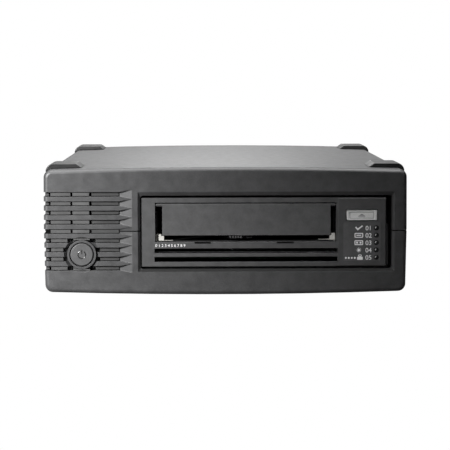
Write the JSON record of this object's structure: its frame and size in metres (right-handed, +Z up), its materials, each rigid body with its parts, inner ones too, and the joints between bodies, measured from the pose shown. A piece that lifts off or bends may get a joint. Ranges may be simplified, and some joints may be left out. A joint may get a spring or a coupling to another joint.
{
  "type": "data tape drive",
  "caption": "Table-top data tape drive: crowned plastic clamshell with louvred front, flap-covered cartridge slot, power and eject buttons, lamps, rear fan and sockets.",
  "frame": {"origin": "on the table, under the middle of the housing", "axes": "+X right seen from the front, +Y to the back, +Z up"},
  "size_m": [0.218, 0.284, 0.0804],
  "materials": {
    "housing_plastic": "fine textured dark grey moulded plastic",
    "bezel_plastic": "fine textured near-black moulded plastic",
    "pad_rubber": "smooth black elastomer",
    "key_plastic": "light grey satin plastic",
    "button_plastic": "dark grey satin plastic",
    "lens_plastic": "smoked clear plastic",
    "guide_plastic": "pale acetal",
    "sheet_steel": "zinc plated sheet",
    "painted_panel": "black powder coat",
    "plain_steel": "bright steel",
    "screw_steel": "black zinc",
    "cast_alloy": "die cast, satin",
    "circuit_board": "green solder mask",
    "black_moulding": "black moulded plastic",
    "fan_plastic": "black moulded plastic",
    "contact_metal": "plated contacts",
    "head_ceramic": "lapped ceramic and alloy",
    "cable_sheath": "black sheath",
    "can_aluminium": "plain sleeve",
    "copper_winding": "varnished winding and core"
  },
  "bodies": {
    "enclosure": {"upper_shell": "housing_plastic", "lower_shell": "housing_plastic", "vent_baffle": "bezel_plastic", "corner_pads": "pad_rubber", "base_feet": "pad_rubber", "power_button_spring": "plain_steel", "power_switch_board": "circuit_board", "psu_tray": "sheet_steel", "psu_board": "circuit_board", "psu_transformer": "copper_winding", "psu_capacitors": "can_aluminium", "psu_heat_sink": "can_aluminium", "psu_screws": "plain_steel", "case_screws": "screw_steel", "rear_panel": "painted_panel", "power_inlet": "black_moulding", "inlet_pins": "contact_metal", "interface_sockets": "sheet_steel", "fan_frame": "fan_plastic", "rear_panel_screws": "screw_steel", "fan_screws": "screw_steel", "drive_bezel": "bezel_plastic", "door_pin": "plain_steel", "door_spring": "plain_steel", "front_board": "circuit_board", "lamp_lenses": "lens_plastic", "cartridge_guides": "guide_plastic", "drive_chassis": "cast_alloy", "drive_cover": "sheet_steel", "main_board": "circuit_board", "drive_connectors": "black_moulding", "drive_cradle": "painted_panel", "drive_side_screws": "plain_steel", "cradle_screws": "plain_steel", "loader_motor": "plain_steel", "hub_motor_base": "cast_alloy", "reel_motor_base": "cast_alloy", "roller_posts": "plain_steel", "head_rails": "plain_steel", "head_magnet": "plain_steel", "threader_motor": "can_aluminium", "interface_cables": "cable_sheath", "mains_leads": "cable_sheath", "power_harness": "cable_sheath"},
    "button": {"power_button": "button_plastic"},
    "fan": {"fan_rotor": "fan_plastic"},
    "door": {"cartridge_door": "bezel_plastic"},
    "eject": {"eject_button": "key_plastic"},
    "carriage": {"loader_carriage": "black_moulding"},
    "tray": {"loader_tray": "sheet_steel"},
    "screw": {"lead_screw": "plain_steel"},
    "hub": {"hub_clutch": "plain_steel"},
    "reel": {"take_up_reel": "black_moulding"},
    "roller_1": {"guide_roller_1": "can_aluminium"},
    "roller_2": {"guide_roller_2": "can_aluminium"},
    "roller_3": {"guide_roller_3": "can_aluminium"},
    "roller_4": {"guide_roller_4": "can_aluminium"},
    "head": {"head_carriage": "head_ceramic"},
    "arm": {"threading_arm": "black_moulding"}
  },
  "joints": [
    {"name": "power_button_press", "type": "slide", "parent": "enclosure", "child": "button", "axis": [0, 1, 0], "range_m": [0, 0.002], "stiffness_N_per_m": 900, "springref_m": -0.001, "deforming": ["power_button_spring"]},
    {"name": "fan_spin", "type": "hinge", "parent": "enclosure", "child": "fan", "pos_m": [-0.008, 0.125, 0.041], "axis": [0, 1, 0], "continuous": true},
    {"name": "door_swing", "type": "hinge", "parent": "enclosure", "child": "door", "pos_m": [0.0122, -0.1375, 0.056], "axis": [1, 0, 0], "range_deg": [0, 90], "stiffness_Nm_per_rad": 0.004, "springref_deg": -20.05, "deforming": ["door_spring"]},
    {"name": "eject_press", "type": "slide", "parent": "enclosure", "child": "eject", "axis": [0, 1, 0], "range_m": [0, 0.0012], "stiffness_N_per_m": 1200, "springref_m": -0.0006},
    {"name": "carriage_slide", "type": "slide", "parent": "enclosure", "child": "carriage", "axis": [0, 1, 0], "range_m": [0, 0.018]},
    {"name": "tray_drop", "type": "slide", "parent": "carriage", "child": "tray", "axis": [0, 0, -1], "range_m": [0, 0.003]},
    {"name": "lead_screw_turn", "type": "hinge", "parent": "enclosure", "child": "screw", "pos_m": [0.078, -0.06, 0.0345], "axis": [0, 1, 0], "range_deg": [0, 540]},
    {"name": "hub_spin", "type": "hinge", "parent": "enclosure", "child": "hub", "pos_m": [0.0122, -0.0835, 0.03], "axis": [0, 0, 1], "continuous": true},
    {"name": "reel_spin", "type": "hinge", "parent": "enclosure", "child": "reel", "pos_m": [0, 0.016, 0.04], "axis": [0, 0, 1], "continuous": true},
    {"name": "roller_1_spin", "type": "hinge", "parent": "enclosure", "child": "roller_1", "pos_m": [0.062, -0.021, 0.042], "axis": [0, 0, 1], "continuous": true},
    {"name": "roller_2_spin", "type": "hinge", "parent": "enclosure", "child": "roller_2", "pos_m": [0.07, -0.012, 0.042], "axis": [0, 0, 1], "continuous": true},
    {"name": "roller_3_spin", "type": "hinge", "parent": "enclosure", "child": "roller_3", "pos_m": [0.07, 0.016, 0.042], "axis": [0, 0, 1], "continuous": true},
    {"name": "roller_4_spin", "type": "hinge", "parent": "enclosure", "child": "roller_4", "pos_m": [0.06, 0.028, 0.042], "axis": [0, 0, 1], "continuous": true},
    {"name": "head_lift", "type": "slide", "parent": "enclosure", "child": "head", "axis": [0, 0, 1], "range_m": [-0.004, 0.004]},
    {"name": "arm_swing", "type": "hinge", "parent": "enclosure", "child": "arm", "pos_m": [0.069, 0.0455, 0.054], "axis": [0, 0, -1], "range_deg": [0, 59]}
  ],
  "couplings": [
    {"joint": "tray_drop", "follows": "carriage_slide", "ratio": 0.16667},
    {"joint": "lead_screw_turn", "follows": "carriage_slide", "rad_per_m": 523.6}
  ]
}
